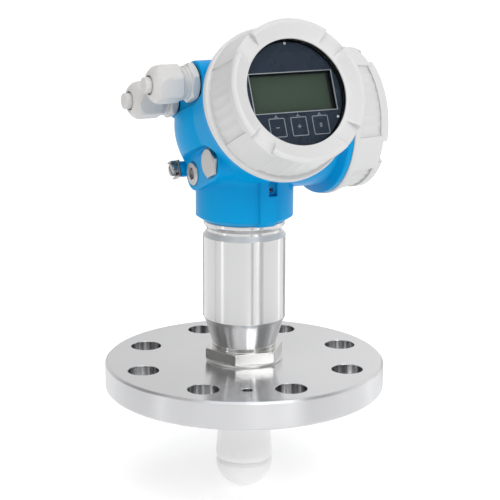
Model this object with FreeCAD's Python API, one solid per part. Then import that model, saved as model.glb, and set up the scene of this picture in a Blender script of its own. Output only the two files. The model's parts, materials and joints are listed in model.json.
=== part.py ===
"""Radar level transmitter with a bolted flange, a steel neck and a two-compartment head.

Millimetres, +Z up. The origin is the centre of the flange's sealing face. The head is laid out
in its own frame (display towards -Y, terminal cover towards +X, cable glands towards -X), then
tilted back about X and lifted onto the neck.
"""
import FreeCAD, Part
import math
import os
from FreeCAD import Placement, Rotation, Vector

# Fits and seats
run_gap = 0.05            # radial play of a turning fit
thread_gap = 0.1          # radial play of a screwed cover or cap
seat_gap = 0.3            # axial or soft seat between pieces that move apart

# Process flange
flange_dia = 200.0
flange_thick = 20.0
flange_chamfer = 1.5
bolt_circle = 155.0
bolt_hole = 22.0
bolt_count = 8
flange_turn = -2.35       # where the first bolt hole lies, from +X, in degrees
lift_hole = 7.0
lift_hole_depth = 10.0
lift_circle = 148.0

# Antenna nose below the flange
nose_top_r = 19.2
nose_mid_r = 20.5
nose_joint_z = -54.6
nose_notch = 1.0
nose_notch_half = 2.5
nose_waist_z = -37.0
dome_length = 19.7
stub_r = 16.0
stub_length = 11.0
dome_spigot_r = 15.0
dome_spigot_length = 9.0
dome_seal_wire = 1.4

# Waveguide through the neck
guide_r = 12.5
guide_wall = 1.5
guide_bottom = -48.0
feed_length = 20.0
feed_tip = 12.0
isolator_thick = 8.0
radar_module_length = 57.0
radar_module_play = 2.3

# Screwed adapter between flange and neck
seal_dia = 54.8
seal_thick = 1.6
shank_dia = 42.0
hex_flats = 50.0
hex_height = 8.0
hex_turn = -69.3          # where one corner of the hexagon lies, from +X, in degrees
hex_crown = 1.2           # how far in from its corners the hexagon is turned off
adapter_ring_height = 3.2
neck_socket_r = 17.0
neck_socket_depth = 9.0

# Neck tube
neck_dia = 59.0
neck_wall = 3.5
cone_foot_dia = neck_dia - 13.2
cone_top_dia = neck_dia - 3.4
cone_height = 16.2
cone_round = 3.0
tube_top = 111.4
guide_top = tube_top - 19.4
groove_dia = neck_dia - 5.6
groove_low = tube_top + 3.4
groove_high = tube_top + 5.3
neck_ring_dia = neck_dia - 1.0
neck_ring_low = tube_top + 8.4
spigot_dia = neck_dia - 5.0
spigot_wall = 3.0
spigot_top = tube_top + 42.8
neck_seal_wire = 2.4
neck_seal_z = tube_top + 18.6
clip_width = 2.0
clip_groove = 1.7
clip_reach = 2.8
clip_opening = 8.0

# Housing collar that turns on the neck
collar_dia = neck_dia + 9.8
collar_bottom = tube_top + 11.1
collar_chamfer = 3.5
collar_draft = 1.9
collar_round = 8.0
shoulder_top = collar_bottom + 28.5
clip_room_r = spigot_dia / 2 + clip_reach + 1.2
clip_room_height = 4.0
lock_pad_width = 13.4
lock_pad_x = 0.6
lock_pad_reach = 1.8
lock_slot_width = 6.2
lock_slot_x = 3.8
lock_slot_depth = 3.2
lock_slot_low = collar_bottom + 22.0
lock_screw_dia = 3.6
lock_screw_z = collar_bottom + 25.9
lock_screw_length = 4.5
cable_duct_dia = 10.0
cable_duct_reach = 22.0

# Head
head_z = collar_bottom + 66.5
head_tilt = 23.0
barrel_dia = 92.0
barrel_r = barrel_dia / 2
body_r = barrel_r + 3.0
rim_r = barrel_r + 6.3
rim_thick = 3.5
rim_slope = 3.5
cast_round = 1.2          # edges of the casting
display_seat = barrel_r + 4.0
terminal_seat = barrel_r + 12.0
screw_length = 11.0
mouth_r = barrel_r - 5.0
mouth_floor = display_seat - 22.0
well_r = barrel_r - 13.0
well_floor = 5.0
partition = 2.0
wiring_r = barrel_r - 15.0
terminal_mouth_floor = terminal_seat - 14.0

# Cable entries on the left side of the head
gland_spread = 19.0
gland_height = 27.3
gland_face = barrel_r - 4.5
gland_boss_r = 14.7
gland_entry_dia = 20.0
gland_entry_depth = 12.0
gland_thread = 6.0
wiring_end = -(gland_face - 9.5)
plug_spread = 16.0
plug_height = -28.0
plug_boss_r = 12.0
plug_entry_dia = 16.8
plug_entry_depth = 6.0
plug_face = clip_room_r + plug_entry_depth + 1.0
plug_thread = 5.5
channel_height = 13.0
boss_foot = 12.0
boss_clearance = 25.0

# Cable glands
gland_flats = 24.0
gland_hex_thick = 5.7
gland_washer_thick = 0.9
gland_neck_r = 10.4
gland_neck_length = 18.0
gland_step_r = 11.5
gland_groove_r = 10.9
gland_bore_r = 6.8
cap_gap = 6.0
cap_length = 20.7
cap_round_r = 13.3
cap_dome = 11.5
cap_mouth_r = 6.6
cap_face_r = 8.0
gland_seal_length = 5.0
gland_seal_r = 8.4
stopper_r = 5.5
stopper_proud = 4.3
stopper_length = 17.0

# Blanking plugs
hex_plug_flats = 19.0
hex_plug_head = 2.6
plug_washer_thick = 0.5
socket_plug_proud = 1.2
socket_plug_chamfer = 0.9
socket_plug_gap = 0.5
socket_flats = 8.0
socket_depth = 2.4

# Ground terminal
ground_back = 34.0
ground_height = -20.5
ground_face = plug_face + 2.6
ground_boss_r = 5.6
ground_screw_dia = 5.0
ground_head_r = 4.5
ground_head_thick = 3.2
ground_screw_length = 10.0
ground_slot = 1.1
ground_washer_thick = 1.2
clamp_thick = 1.4
clamp_width = 10.0
clamp_height = 12.0
clamp_tab = 6.0

# Screwed covers
cover_rim_r = rim_r + 0.7
cover_rim_height = 5.0
cover_rim_round = 1.6
cover_foot_r = barrel_r + 3.9
cover_head_r = barrel_r + 1.2
lug_foot_r = barrel_r + 5.2
lug_head_r = barrel_r + 3.4
lug_half_angle = 15.0
cover_ring_r = barrel_r + 2.4
cover_ring_thick = 6.5
display_cover_height = 37.2
terminal_cover_height = 28.9
terminal_cover_wider = 1.5
cover_gap_depth = 4.0
cover_gap_half_angle = 10.0
cover_crest_r = barrel_r - 0.8
cover_dish_r = barrel_r - 7.6
cover_lip_drop = 4.7
window_r = barrel_r - 10.0
cover_wall_r = barrel_r - 2.0
cover_edge = 1.2
flutes = 7
flute_pitch = 8.4
flute_r = 9.0
flute_depth = 0.9
cover_seal_wire = 2.0
cover_seal_room = 2.6
lip_thick = 1.2
blank_thick = 3.0

# Sight glass
glass_r = barrel_r - 4.0
glass_thick = 3.2
glass_seal_thick = 0.6
retainer_thick = 4.0
retainer_bore_r = barrel_r - 9.4

# Display module and electronics
module_r = barrel_r - 10.1
module_front = display_seat + 27.3
module_back = display_seat + 6.0
plate_edge = 0.6
bezel_width = 2 * module_r - 10.2
bezel_height = 27.5
bezel_edge = 0.55
bezel_thick = 0.8
bezel_proud = 0.2
window_width = bezel_width - 2 * bezel_edge
window_height = bezel_height - 2 * bezel_edge
screen_width = window_width - 3.7
screen_height = window_height - 1.1
screen_up = 1.35
screen_thick = 1.6
screen_drop = 1.8
clip_pin_dia = 1.8
clip_pin_circle = 2 * module_r - 3.2
bracket_r = barrel_r - 12.0
bracket_wall = 4.0
pod_r = well_r - 0.4
pod_top = display_seat - 4.0
pod_notch_width = 14.0
pod_notch_drop = 12.0
pod_socket_width = 22.0
pod_socket_depth = 8.0

# Terminal block
block_width = 26.0
block_height = 2 * wiring_r - 18.0
block_thick = 15.0
block_start = 2.0
clamp_screws = 6
clamp_screw_dia = 4.5
clamp_screw_proud = 0.6

ample = 10 * barrel_dia     # reaches past everything it cuts

ORIGIN = Vector(0, 0, 0)
UP = Vector(0, 0, 1)
RIGHT = Vector(1, 0, 0)
TO_FRONT = Placement(ORIGIN, Rotation(RIGHT, 90))
TO_RIGHT = Placement(ORIGIN, Rotation(Vector(0, 1, 0), 90))
TO_LEFT = Placement(ORIGIN, Rotation(Vector(0, 1, 0), -90))
HEAD = Placement(Vector(0, 0, head_z), Rotation(RIGHT, -head_tilt))


def placed(shape, placement):
    """A copy of the shape, moved by the placement."""
    copy = shape.copy()
    copy.Placement = placement.multiply(copy.Placement)
    return copy


def shifted(shape, x=0.0, y=0.0, z=0.0):
    return placed(shape, Placement(Vector(x, y, z), Rotation()))


def turned(points):
    """A solid of revolution about Z from (radius, height) points."""
    wire = Part.makePolygon([Vector(r, 0, z) for r, z in points + points[:1]])
    return Part.Face(wire).revolve(ORIGIN, UP, 360)


def disc(radius, low, high):
    return Part.makeCylinder(radius, high - low, Vector(0, 0, low))


def ring(outer, inner, low, high):
    return disc(outer, low, high).cut(disc(inner, low, high))


def torus(radius, wire, height):
    return Part.makeTorus(radius, wire / 2, Vector(0, 0, height))


def box(width, depth, height, x=0.0, y=0.0, z=0.0):
    """A block centred on x and y that stands on z."""
    return Part.makeBox(width, depth, height, Vector(x - width / 2, y - depth / 2, z))


def hexagon(flats, low, high, first_corner=90.0):
    """A hexagonal prism with one corner at the given angle from X."""
    corner_r = flats / math.sqrt(3)
    angles = [math.radians(first_corner + 60 * side) for side in range(7)]
    points = [Vector(corner_r * math.cos(a), corner_r * math.sin(a), low) for a in angles]
    return Part.Face(Part.makePolygon(points)).extrude(Vector(0, 0, high - low))


def crowned_hexagon(flats, low, high, crown_low=True, first_corner=90.0, crown=None):
    """A hexagonal prism whose corners are turned off at 30 degrees, down to its flats if not told."""
    corner_r = flats / math.sqrt(3)
    face_r = corner_r - crown if crown else flats / 2 - 0.3
    drop = (corner_r - face_r) * math.tan(math.radians(30))
    points = [(0, high), (face_r, high), (corner_r, high - drop)]
    if crown_low:
        points += [(corner_r, low + drop), (face_r, low), (0, low)]
    else:
        points += [(corner_r, low), (0, low)]
    return hexagon(flats, low, high, first_corner).common(turned(points))


def edges_at(shape, height, radius, slack=0.02):
    """Circular edges about Z at the given height and radius."""
    found = []
    for edge in shape.Edges:
        if not isinstance(edge.Curve, Part.Circle):
            continue
        centre = edge.Curve.Center
        if abs(edge.Curve.Radius - radius) < slack and abs(centre.z - height) < slack:
            found.append(edge)
    return found


# Process side

def flange():
    body = disc(flange_dia / 2, 0, flange_thick)
    rims = edges_at(body, 0, flange_dia / 2) + edges_at(body, flange_thick, flange_dia / 2)
    body = body.makeChamfer(flange_chamfer, rims)
    body = body.cut(disc(shank_dia / 2 + run_gap, -1, flange_thick + 1))
    for number in range(bolt_count):
        angle = flange_turn + 360 / bolt_count * number
        hole = shifted(disc(bolt_hole / 2, -1, flange_thick + 1), x=bolt_circle / 2)
        body = body.cut(placed(hole, Placement(ORIGIN, Rotation(UP, angle))))
    lift = shifted(disc(lift_hole / 2, flange_thick - lift_hole_depth, flange_thick + 1),
                   x=lift_circle / 2)
    lift_angle = flange_turn - 360 / bolt_count * 2.5
    return body.cut(placed(lift, Placement(ORIGIN, Rotation(UP, lift_angle))))


hex_low = flange_thick + seal_thick
hex_high = hex_low + hex_height
adapter_top = hex_high + adapter_ring_height


def adapter_seal():
    return ring(seal_dia / 2, shank_dia / 2 + run_gap, flange_thick, hex_low)


def adapter():
    body = crowned_hexagon(hex_flats, hex_low, hex_high, first_corner=hex_turn, crown=hex_crown)
    body = body.fuse(disc(cone_foot_dia / 2, hex_high, adapter_top))
    body = body.fuse(disc(shank_dia / 2, 0, hex_low))
    body = body.fuse(disc(stub_r, -stub_length, 0))
    body = body.cut(disc(neck_socket_r + run_gap, adapter_top - neck_socket_depth, adapter_top + 1))
    return body.cut(disc(guide_r + run_gap, -stub_length - 1, adapter_top)).removeSplitter()


def antenna_sleeve():
    outer = [(nose_top_r, -seat_gap), (nose_top_r, nose_waist_z),
             (nose_mid_r, nose_joint_z + 2 * nose_notch_half),
             (nose_mid_r, nose_joint_z + nose_notch_half),
             (nose_mid_r - nose_notch, nose_joint_z)]
    spigot_r = dome_spigot_r + thread_gap
    spigot_end = nose_joint_z + dome_spigot_length + seat_gap
    inner = [(spigot_r, nose_joint_z), (spigot_r, spigot_end), (guide_r + run_gap, spigot_end),
             (guide_r + run_gap, -stub_length - seat_gap),
             (stub_r + thread_gap, -stub_length - seat_gap), (stub_r + thread_gap, -seat_gap)]
    return turned(outer + inner)


def antenna_dome():
    """Solid nose with an elliptical end and a screwed spigot that holds the feed."""
    widest = nose_joint_z - nose_notch_half
    end = Part.Ellipse(Vector(0, 0, widest), nose_mid_r, dome_length)
    end.rotate(Placement(Vector(0, 0, 0), Rotation(RIGHT, 90)))
    end.Center = Vector(0, 0, widest)
    low = end.toShape(math.pi * 1.5, math.pi * 2)
    joint_r = nose_mid_r - nose_notch
    spigot_high = nose_joint_z + dome_spigot_length
    seal_low = nose_joint_z
    seal_groove_r = dome_spigot_r - dome_seal_wire
    line = [Vector(nose_mid_r, 0, widest), Vector(joint_r, 0, seal_low),
            Vector(dome_spigot_r, 0, seal_low), Vector(dome_spigot_r, 0, seal_low + 2),
            Vector(seal_groove_r, 0, seal_low + 2),
            Vector(seal_groove_r, 0, seal_low + 2 + dome_seal_wire),
            Vector(dome_spigot_r, 0, seal_low + 2 + dome_seal_wire),
            Vector(dome_spigot_r, 0, spigot_high), Vector(0, 0, spigot_high),
            Vector(0, 0, widest - dome_length)]
    edges = [Part.makeLine(a, b) for a, b in zip(line, line[1:])]
    profile = Part.Wire(Part.__sortEdges__(edges + [low]))
    body = Part.Face(profile).revolve(ORIGIN, UP, 360)
    return body.cut(feed_room(run_gap))


def feed_room(play):
    """The cone of the feed, with some play all round."""
    base_z = guide_bottom
    return turned([(0, base_z + feed_length), (guide_r - guide_wall + play, base_z + feed_length),
                   (guide_r - guide_wall + play, base_z), (0, base_z - feed_tip - play)])


def dome_seal():
    middle = dome_spigot_r - dome_seal_wire / 2
    return torus(middle, dome_seal_wire - 2 * run_gap, nose_joint_z + 2 + dome_seal_wire / 2)


def waveguide():
    low = nose_joint_z + dome_spigot_length + run_gap
    return ring(guide_r, guide_r - guide_wall, low, guide_top)


def feed_cone():
    return feed_room(-run_gap)


def isolator():
    """Pressure-tight bush between waveguide and neck."""
    outer = neck_dia / 2 - neck_wall - run_gap
    return ring(outer, guide_r + run_gap, guide_top - isolator_thick, guide_top)


def radar_module():
    low = guide_top + seat_gap
    radius = spigot_dia / 2 - spigot_wall - clip_groove - radar_module_play
    body = disc(radius, low, low + radar_module_length)
    plug = disc(guide_r - guide_wall - run_gap, guide_top - isolator_thick, low)
    return body.fuse(plug).removeSplitter()


def neck():
    cone_foot = adapter_top
    cone_top = cone_foot + cone_height
    inner = neck_dia / 2 - neck_wall
    inner_low = cone_top + 5
    seal_half = neck_seal_wire / 2
    spigot_r = spigot_dia / 2
    clip_low = shoulder_top + seat_gap
    outer = [(neck_socket_r, cone_foot - neck_socket_depth + run_gap), (neck_socket_r, cone_foot),
             (cone_foot_dia / 2, cone_foot), (cone_top_dia / 2, cone_top),
             (neck_dia / 2, cone_top + cone_round), (neck_dia / 2, tube_top),
             (groove_dia / 2, groove_low), (groove_dia / 2, groove_high),
             (neck_ring_dia / 2, neck_ring_low), (neck_ring_dia / 2, collar_bottom - seat_gap),
             (spigot_r, collar_bottom - seat_gap), (spigot_r, neck_seal_z - seal_half),
             (spigot_r - neck_seal_wire, neck_seal_z - seal_half),
             (spigot_r - neck_seal_wire, neck_seal_z + seal_half),
             (spigot_r, neck_seal_z + seal_half), (spigot_r, clip_low),
             (spigot_r - clip_groove, clip_low), (spigot_r - clip_groove, clip_low + clip_width),
             (spigot_r, clip_low + clip_width), (spigot_r, spigot_top)]
    bore = [(spigot_r - spigot_wall - clip_groove, spigot_top),
            (spigot_r - spigot_wall - clip_groove, tube_top), (inner, tube_top - 4),
            (inner, inner_low), (guide_r + run_gap, inner_low),
            (guide_r + run_gap, cone_foot - neck_socket_depth + run_gap)]
    return turned(outer + bore)


def neck_seal():
    return torus(spigot_dia / 2 - neck_seal_wire / 2, neck_seal_wire - 2 * run_gap, neck_seal_z)


def retaining_clip():
    """Open spring clip that keeps the head on the neck."""
    inner = spigot_dia / 2 - clip_groove + run_gap
    low = shoulder_top + seat_gap
    body = ring(spigot_dia / 2 + clip_reach, inner, low + run_gap, low + clip_width - run_gap)
    return body.cut(box(clip_opening, spigot_dia / 2, clip_width + 2, y=spigot_dia / 2, z=low - 1))


# Housing

def barrel(seat):
    """One compartment's outside: barrel, flared rim and the male thread of its cover."""
    body = turned([(0, 0), (barrel_r, 0), (barrel_r, seat - rim_thick - rim_slope),
                   (rim_r, seat - rim_thick), (rim_r, seat), (barrel_r, seat),
                   (barrel_r, seat + screw_length), (0, seat + screw_length)])
    return body.makeFillet(cast_round, edges_at(body, seat - rim_thick, rim_r))


def boss_pair(radius, spread, height, low, high):
    """Two round bosses joined side by side, pointing to the left."""
    body = box(2 * radius, 2 * spread, high - low, z=low)
    for side in (-1, 1):
        body = body.fuse(shifted(disc(radius, low, high), y=side * spread))
    body = body.removeSplitter()
    rim = [edge for edge in body.Edges if min(corner.Z for corner in edge.Vertexes) > high - cast_round]
    return shifted(placed(body.makeFillet(cast_round, rim), TO_LEFT), z=height)


def entry_pair(radius, spread, height, face, depth):
    """Both bores of a pair of bosses."""
    bores = []
    for side in (-1, 1):
        bore = placed(disc(radius, face - depth, face + 1), TO_LEFT)
        bores.append(shifted(bore, y=side * spread, z=height))
    return bores


def ground_axis(shape):
    """Puts a piece made on +Z onto the axis of the ground terminal."""
    return placed(shifted(placed(shape, TO_LEFT), y=ground_back, z=ground_height), HEAD)


def lock_pad():
    depth = collar_dia / 2 + lock_pad_reach
    block = box(lock_pad_width, 12, head_z - collar_bottom - 25, x=lock_pad_x, y=6 - depth,
                z=collar_bottom)
    foot = turned([(0, collar_bottom), (depth - collar_chamfer, collar_bottom),
                   (depth + 2, collar_bottom + collar_chamfer + 2), (depth + 2, head_z),
                   (0, head_z)])
    return block.common(foot)


def core():
    """Round middle of the casting, which flows into the turned collar below it."""
    radius = collar_dia / 2
    reach = radius + collar_round
    drop = math.sqrt((body_r + collar_round) ** 2 - reach ** 2)
    share = body_r / (body_r + collar_round)
    centre = Vector(reach, 0, head_z - drop)
    start = Vector(radius, 0, head_z - drop)
    end = Vector(reach * share, 0, head_z - drop * share)
    inward = (start + end) * 0.5 - centre
    flow = Part.Arc(start, centre + inward.normalize() * collar_round, end)
    ball = Part.Arc(end, Vector(body_r, 0, head_z), Vector(0, 0, head_z + body_r))
    line = [Vector(0, 0, head_z + body_r), Vector(0, 0, collar_bottom),
            Vector(radius - collar_chamfer - collar_draft, 0, collar_bottom),
            Vector(radius, 0, collar_bottom + collar_chamfer), start]
    edges = [Part.makeLine(a, b) for a, b in zip(line, line[1:])] + [flow.toShape(), ball.toShape()]
    return Part.Face(Part.Wire(Part.__sortEdges__(edges))).revolve(ORIGIN, UP, 360)


def housing():
    bosses = ((gland_boss_r, gland_spread, gland_height, gland_face),
              (plug_boss_r, plug_spread, plug_height, plug_face))
    pieces = [placed(barrel(display_seat), TO_FRONT), placed(barrel(terminal_seat), TO_RIGHT)]
    pieces += [boss_pair(*boss[:-1], boss_foot, boss[-1]) for boss in bosses]
    body = core().fuse([placed(piece, HEAD) for piece in pieces])
    body = body.cut([placed(boss_pair(*boss, boss[-1] + boss_clearance), HEAD) for boss in bosses])
    body = body.fuse([lock_pad(), ground_axis(disc(ground_boss_r, boss_foot, ground_face))])
    return body.removeSplitter().cut(hollows()).removeSplitter()


def hollows():
    """Everything cut out of the housing, in the model's frame."""
    wiring = placed(disc(wiring_r, wiring_end, terminal_mouth_floor + 1), TO_RIGHT)
    half = box(ample, ample, ample, y=ample / 2 - partition, z=-ample / 2)
    well = placed(disc(well_r, well_floor, mouth_floor + 1), TO_FRONT)
    mouths = [placed(disc(mouth_r, mouth_floor, display_seat + screw_length + 1), TO_FRONT),
              placed(disc(mouth_r, terminal_mouth_floor, terminal_seat + screw_length + 1), TO_RIGHT)]
    channel_width = gland_entry_depth - gland_thread
    channel = box(channel_width, 2 * gland_spread + 12, channel_height,
                  x=-gland_face + gland_entry_depth - channel_width / 2,
                  z=gland_height - channel_height / 2)
    cuts = [wiring.common(half), well, channel] + mouths
    cuts += entry_pair(gland_entry_dia / 2, gland_spread, gland_height, gland_face, gland_entry_depth)
    cuts += entry_pair(plug_entry_dia / 2, plug_spread, plug_height, plug_face, plug_entry_depth)
    cuts = [placed(cut, HEAD) for cut in cuts]
    cuts.append(disc(spigot_dia / 2 + run_gap, collar_bottom - 1, shoulder_top + 1))
    cuts.append(disc(clip_room_r, shoulder_top, shoulder_top + clip_room_height))
    cuts.append(shifted(disc(cable_duct_dia / 2, shoulder_top, head_z), y=-cable_duct_reach))
    slot_y = collar_dia / 2 + lock_pad_reach
    cuts.append(box(lock_slot_width, 2 * lock_slot_depth, 30, x=lock_slot_x, y=-slot_y,
                    z=lock_slot_low))
    cuts.append(lock_axis(disc(lock_screw_dia / 2 + run_gap, spigot_dia / 2 - 1, slot_y)))
    cuts.append(ground_axis(disc(ground_screw_dia / 2 + run_gap, ground_face - ground_screw_length,
                                 ground_face + 1)))
    return cuts


def lock_axis(shape):
    """Puts a piece made on +Z onto the axis of the lock screw."""
    return shifted(placed(shape, TO_FRONT), x=lock_slot_x, z=lock_screw_z)


def lock_screw():
    tip = spigot_dia / 2 + run_gap + seat_gap
    body = disc(lock_screw_dia / 2, tip, tip + lock_screw_length)
    socket = hexagon(lock_screw_dia / 2, tip + lock_screw_length / 2, tip + lock_screw_length + 1)
    return lock_axis(body.cut(socket))


# Covers, made on +Z with the rim's face at zero

def sector(radius, half_angle, low, high):
    """A wedge about +X between two heights."""
    a = math.radians(half_angle)
    reach = radius / math.cos(a)
    points = [Vector(0, 0, low), Vector(reach * math.cos(a), -reach * math.sin(a), low),
              Vector(reach * math.cos(a), reach * math.sin(a), low), Vector(0, 0, low)]
    return Part.Face(Part.makePolygon(points)).extrude(Vector(0, 0, high - low))


def quarter_copies(shape, first_angle):
    return [placed(shape, Placement(ORIGIN, Rotation(UP, first_angle + 90 * k))) for k in range(4)]


def cover_shell(height, wider):
    """Outside of a cover: rim band, grip wall with four smooth lugs, and the head ring."""
    ring_low = height - cover_ring_thick
    gap_height = height - cover_gap_depth
    ring_r = cover_ring_r + wider
    rim = disc(cover_rim_r, 0, cover_rim_height)
    rim = rim.makeFillet(cover_rim_round, edges_at(rim, cover_rim_height, cover_rim_r))
    rim = rim.makeChamfer(0.6, edges_at(rim, 0, cover_rim_r))
    foot = cover_rim_height / 2
    wall = turned([(0, foot), (cover_foot_r + wider, foot), (cover_foot_r + wider, cover_rim_height),
                   (cover_head_r + wider, ring_low + 1), (0, ring_low + 1)])
    wall = wall.cut(grip_flutes(ring_low, wider))
    lugs = turned([(cover_dish_r, foot), (lug_foot_r + wider, foot),
                   (lug_foot_r + wider, cover_rim_height),
                   (lug_head_r + wider, gap_height - cover_edge),
                   (lug_head_r + wider - cover_edge, gap_height), (cover_dish_r, gap_height)])
    wedges = quarter_copies(sector(ample, lug_half_angle, 0, height), 45)
    lugs = [lugs.common(wedge) for wedge in wedges]
    head = turned([(0, ring_low), (ring_r, ring_low), (ring_r, height - cover_edge),
                   (ring_r - cover_edge, height), (cover_crest_r, height),
                   (cover_dish_r, gap_height), (window_r, height - cover_lip_drop),
                   (0, height - cover_lip_drop)])
    gaps = quarter_copies(sector(ample, cover_gap_half_angle, gap_height, height + 1), 45)
    head = head.cut(gaps)
    return rim.fuse([wall, head] + lugs).removeSplitter()


def grip_flutes(ring_low, wider):
    """Finger flutes in the four grip zones, leaning with the tapered wall."""
    rise = ring_low - cover_rim_height
    lean = math.degrees(math.atan((cover_foot_r - cover_head_r) / rise))
    reach = cover_foot_r + wider + flute_r - flute_depth
    foot = Placement(Vector(reach, 0, cover_rim_height), Rotation(Vector(0, 1, 0), -lean))
    cutter = placed(Part.makeCylinder(flute_r, rise + 6), foot)
    cutter = cutter.common(box(8 * flute_r, 8 * flute_r, rise, x=reach, z=cover_rim_height))
    angles = [90 * zone + flute_pitch * (step - (flutes - 1) / 2)
              for zone in range(4) for step in range(flutes)]
    return [placed(cutter, Placement(ORIGIN, Rotation(UP, angle))) for angle in angles]


def cover_hollow(ceiling):
    """Inside of a cover up to the ceiling: seal room, thread and cavity."""
    seal_room_r = barrel_r + cover_seal_room
    return turned([(0, -1), (seal_room_r, -1), (seal_room_r, cover_seal_room),
                   (barrel_r + thread_gap, cover_seal_room),
                   (barrel_r + thread_gap, screw_length + seat_gap),
                   (cover_wall_r, screw_length + seat_gap + 2), (cover_wall_r, ceiling),
                   (0, ceiling)])


lip_back = display_cover_height - cover_lip_drop - lip_thick
glass_high = lip_back - glass_seal_thick
glass_low = glass_high - glass_thick


def display_cover():
    body = cover_shell(display_cover_height, 0).cut(cover_hollow(glass_low))
    body = body.cut(disc(glass_r + run_gap, glass_low - 1, lip_back))
    return on_display(body.cut(disc(window_r, 0, display_cover_height)))


def terminal_cover():
    ceiling = terminal_cover_height - cover_lip_drop - blank_thick
    body = cover_shell(terminal_cover_height, terminal_cover_wider)
    return on_terminals(body.cut(cover_hollow(ceiling)))


def cover_seal():
    middle = barrel_r + cover_seal_room / 2
    return torus(middle, cover_seal_wire, cover_seal_wire / 2)


def on_display(shape):
    """Places a piece of the display cover, measured from the cover's rim."""
    return placed(placed(shifted(shape, z=display_seat + seat_gap), TO_FRONT), HEAD)


def on_terminals(shape):
    """Places a piece of the terminal cover, measured from the cover's rim."""
    return placed(placed(shifted(shape, z=terminal_seat + seat_gap), TO_RIGHT), HEAD)


def sight_glass():
    return on_display(disc(glass_r, glass_low, glass_high))


def glass_seal():
    return on_display(ring(glass_r, retainer_bore_r, glass_high, lip_back))


def glass_retainer():
    low = glass_low - retainer_thick
    body = ring(cover_wall_r - run_gap, retainer_bore_r, low, glass_low)
    notch = shifted(disc(1.5, low - 1, low + 2), x=(cover_wall_r + retainer_bore_r) / 2)
    return on_display(body.cut(quarter_copies(notch, 0)))


# Inside the display compartment, made on +Z with the front towards +Z

def to_display(shape):
    return placed(placed(shape, TO_FRONT), HEAD)


def display_module():
    body = disc(module_r, module_back, module_front)
    body = body.makeChamfer(plate_edge, edges_at(body, module_front, module_r))
    for width, height, drop in ((bezel_width, bezel_height, bezel_thick - bezel_proud),
                                (window_width, window_height, screen_drop),
                                (screen_width, screen_height, screen_drop + screen_thick)):
        body = body.cut(box(width, height, 2 * drop, y=screen_up, z=module_front - drop))
    for pin in clip_pins():
        body = body.cut(pin)
    return to_display(body)


def screen():
    return to_display(box(screen_width, screen_height, screen_thick, y=screen_up,
                          z=module_front - screen_drop - screen_thick))


def screen_bezel():
    low = module_front + bezel_proud - bezel_thick
    frame = box(bezel_width, bezel_height, bezel_thick, y=screen_up, z=low)
    return to_display(frame.cut(box(window_width, window_height, 3 * bezel_thick, y=screen_up,
                                    z=low - bezel_thick)))


def clip_pins():
    pins = []
    for number in range(3):
        pin = shifted(disc(clip_pin_dia / 2, module_front - 4, module_front + bezel_proud),
                      y=clip_pin_circle / 2)
        pins.append(placed(pin, Placement(ORIGIN, Rotation(UP, 120 * number))))
    return pins


def module_pins():
    return to_display(Part.makeCompound(clip_pins()))


def display_bracket():
    """Ring with four posts between the electronics and the display module."""
    body = ring(bracket_r, bracket_r - bracket_wall, pod_top, module_back)
    window = shifted(box(30, 16, module_back - pod_top - 5, z=pod_top + 2.5), x=bracket_r)
    return to_display(body.cut(quarter_copies(window, 45)))


def electronics_pod():
    body = disc(pod_r, well_floor + run_gap, pod_top)
    for side in (-1, 1):
        notch = box(pod_notch_width, pod_notch_width, 2 * pod_notch_drop, y=side * (pod_r + 2),
                    z=pod_top - pod_notch_drop)
        body = body.cut(notch)
    socket = box(pod_socket_width, pod_socket_depth, 2 * pod_socket_depth, z=pod_top - pod_socket_depth)
    return to_display(body.cut(socket))


# Inside the terminal compartment

def terminal_block():
    body = Part.makeBox(block_width, block_thick, block_height,
                        Vector(block_start, -partition + run_gap, -block_height / 2))
    for screw in block_screws(clamp_screw_dia / 2 + run_gap):
        body = body.cut(screw)
    gap = block_height / clamp_screws
    for number in range(clamp_screws):
        mouth = box(8, 5, 4, x=block_start + block_width, y=block_thick - 5,
                    z=-block_height / 2 + gap * (number + 0.5) - 2)
        body = body.cut(mouth)
    return placed(body, HEAD)


def block_screws(radius):
    """Clamping screws on the back face of the block."""
    gap = block_height / clamp_screws
    face = block_thick - partition + run_gap
    screws = []
    for number in range(clamp_screws):
        screw = placed(disc(radius, -face - clamp_screw_proud, -face + 6), TO_FRONT)
        height = -block_height / 2 + gap * (number + 0.5)
        screws.append(shifted(screw, x=block_start + block_width * 0.6, z=height))
    return screws


def terminal_screws():
    body = Part.makeCompound(block_screws(clamp_screw_dia / 2))
    return placed(body, HEAD)


# Cable glands, made on +Z with the housing's face at zero

def on_gland(shape, side):
    local = placed(shifted(shape, z=gland_face), TO_LEFT)
    return placed(shifted(local, y=-side * gland_spread, z=gland_height), HEAD)


gland_hex_top = gland_washer_thick + gland_hex_thick
gland_neck_top = gland_hex_top + gland_neck_length
cap_foot = gland_hex_top + cap_gap
cap_top = cap_foot + cap_length
seal_low = gland_neck_top + seat_gap
seal_high = seal_low + gland_seal_length


def gland_washer(side):
    outer = gland_flats / 2 - 0.4
    return on_gland(ring(outer, gland_entry_dia / 2, 0, gland_washer_thick), side)


def gland_body(side):
    """Hexagon with a short stepped neck, the thread into the housing and the cap's thread."""
    body = crowned_hexagon(gland_flats, gland_washer_thick, gland_hex_top)
    third = cap_gap / 3
    neck = turned([(0, gland_hex_top), (gland_step_r, gland_hex_top),
                   (gland_step_r, gland_hex_top + third), (gland_groove_r, gland_hex_top + third),
                   (gland_groove_r, gland_hex_top + 2 * third),
                   (gland_step_r, gland_hex_top + 2 * third),
                   (gland_step_r, cap_foot - 2 * seat_gap), (gland_neck_r, cap_foot - 2 * seat_gap),
                   (gland_neck_r, gland_neck_top), (0, gland_neck_top)])
    thread = disc(gland_entry_dia / 2 - run_gap, -gland_thread, gland_washer_thick)
    body = body.fuse([neck, thread]).removeSplitter()
    return on_gland(body.cut(disc(gland_bore_r, -gland_thread - 1, gland_neck_top + 1)), side)


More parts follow.
